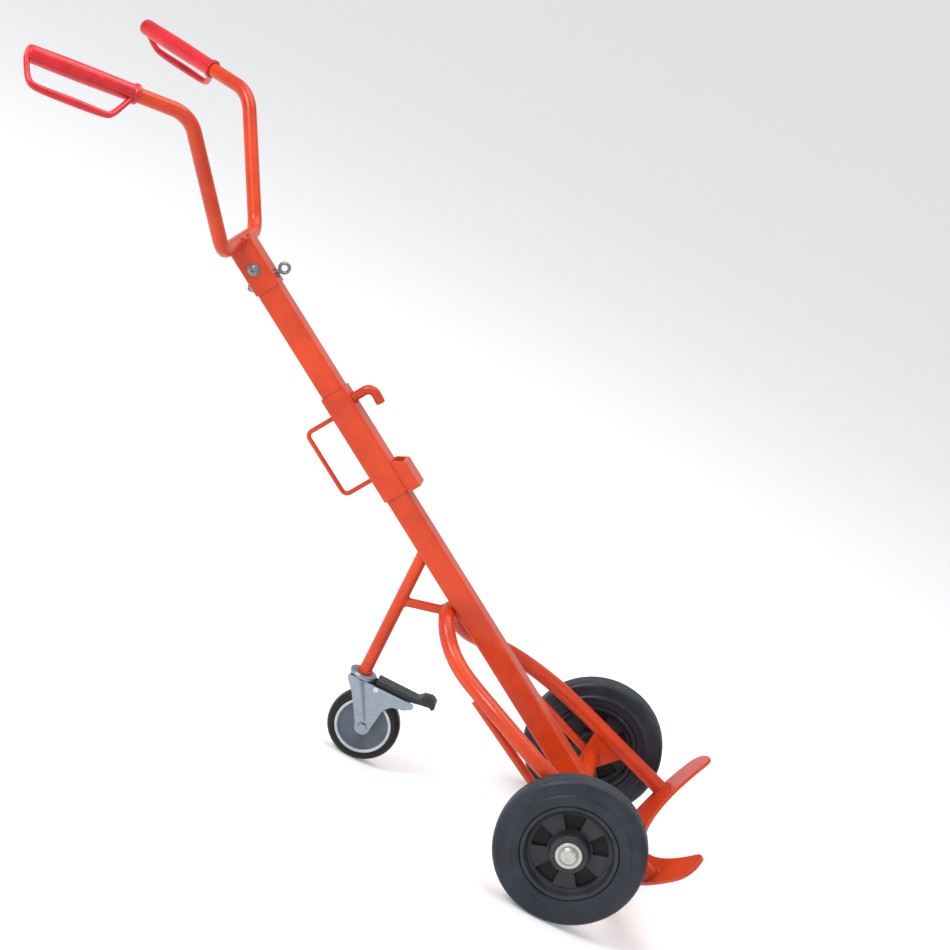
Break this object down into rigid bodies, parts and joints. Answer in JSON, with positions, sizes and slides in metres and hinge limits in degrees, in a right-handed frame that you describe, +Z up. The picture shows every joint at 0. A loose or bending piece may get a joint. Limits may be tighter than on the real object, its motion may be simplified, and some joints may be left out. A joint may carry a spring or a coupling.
{
  "type": "drum dolly",
  "caption": "Hand dolly for a steel drum: leaning square mast, sliding rim hook, crescent toe plate, large wheels and a braked swivel caster.",
  "frame": {"origin": "on the floor, on the plane of symmetry, half way between the grips' rear ends and the toe's front", "axes": "+X forwards to the drum along the dolly's longest side, +Z up, +Y to the left across its narrowest side"},
  "size_m": [1.4811, 0.779, 0.9225],
  "materials": {
    "frame_paint": "glossy orange powder coat",
    "grip_red": "glossy moulded red plastic",
    "tyre_black": "smooth solid rubber tyre",
    "rim_black": "moulded black plastic rim",
    "axle_steel": "bright turned steel",
    "zinc": "zinc plated steel",
    "bush_nylon": "natural nylon",
    "cap_black": "black plastic plug",
    "caster_grey": "grey blue moulded plastic",
    "caster_rubber": "black rubber tread",
    "pedal_black": "black coated steel"
  },
  "bodies": {
    "frame": {"mast": "frame_paint", "mast_end_cap": "cap_black", "handle_tube": "frame_paint", "handle_socket": "frame_paint", "socket_bolt": "zinc", "socket_nut": "zinc", "eye_bolt": "zinc", "eye_bolt_nut": "zinc", "left_grip": "grip_red", "right_grip": "grip_red", "leg_hoop": "frame_paint", "left_strut": "frame_paint", "right_strut": "frame_paint", "axle_tube": "frame_paint", "axle": "axle_steel", "left_axle_bracket": "frame_paint", "right_axle_bracket": "frame_paint", "toe_plate": "frame_paint", "left_toe_gusset": "frame_paint", "right_toe_gusset": "frame_paint", "left_inner_washer": "zinc", "right_inner_washer": "zinc", "left_outer_washer": "zinc", "right_outer_washer": "zinc", "left_axle_cap": "zinc", "right_axle_cap": "zinc", "caster_leg": "frame_paint", "caster_brace": "frame_paint", "stem_socket": "frame_paint", "caster_head": "zinc", "caster_balls": "axle_steel"},
    "hook_carriage": {"hook_sleeve": "frame_paint", "drum_hook": "frame_paint", "hook_weld_collar": "frame_paint", "pull_handle": "frame_paint", "drum_rest": "frame_paint", "sleeve_glides": "bush_nylon"},
    "left_wheel": {"left_tyre": "tyre_black", "left_rim": "rim_black", "left_bush": "bush_nylon"},
    "right_wheel": {"right_tyre": "tyre_black", "right_rim": "rim_black", "right_bush": "bush_nylon"},
    "caster_swivel": {"caster_fork": "zinc", "caster_bolt": "zinc", "caster_nut": "zinc", "caster_spacer": "axle_steel", "pedal_pin": "axle_steel"},
    "caster_wheel": {"caster_wheel_core": "caster_grey", "caster_tyre": "caster_rubber"},
    "brake": {"brake_pedal": "pedal_black", "brake_shoe": "caster_rubber"}
  },
  "joints": [
    {"name": "hook_slide", "type": "slide", "parent": "frame", "child": "hook_carriage", "axis": [-0.8434, 0, 0.5373], "range_m": [-0.06, 0.19]},
    {"name": "left_wheel_spin", "type": "hinge", "parent": "frame", "child": "left_wheel", "pos_m": [0.5374, 0.248, 0.125], "axis": [0, 1, 0], "continuous": true},
    {"name": "right_wheel_spin", "type": "hinge", "parent": "frame", "child": "right_wheel", "pos_m": [0.5374, -0.248, 0.125], "axis": [0, 1, 0], "continuous": true},
    {"name": "caster_swivel_turn", "type": "hinge", "parent": "frame", "child": "caster_swivel", "pos_m": [0.1144, 0, 0.14], "axis": [0, 0, 1], "continuous": true},
    {"name": "caster_wheel_spin", "type": "hinge", "parent": "caster_swivel", "child": "caster_wheel", "pos_m": [0.1524, 0, 0.0625], "axis": [0, 1, 0], "continuous": true},
    {"name": "brake_pedal_press", "type": "hinge", "parent": "caster_swivel", "child": "brake", "pos_m": [0.1454, 0, 0.134], "axis": [0, 1, 0], "range_deg": [0, 7]}
  ]
}
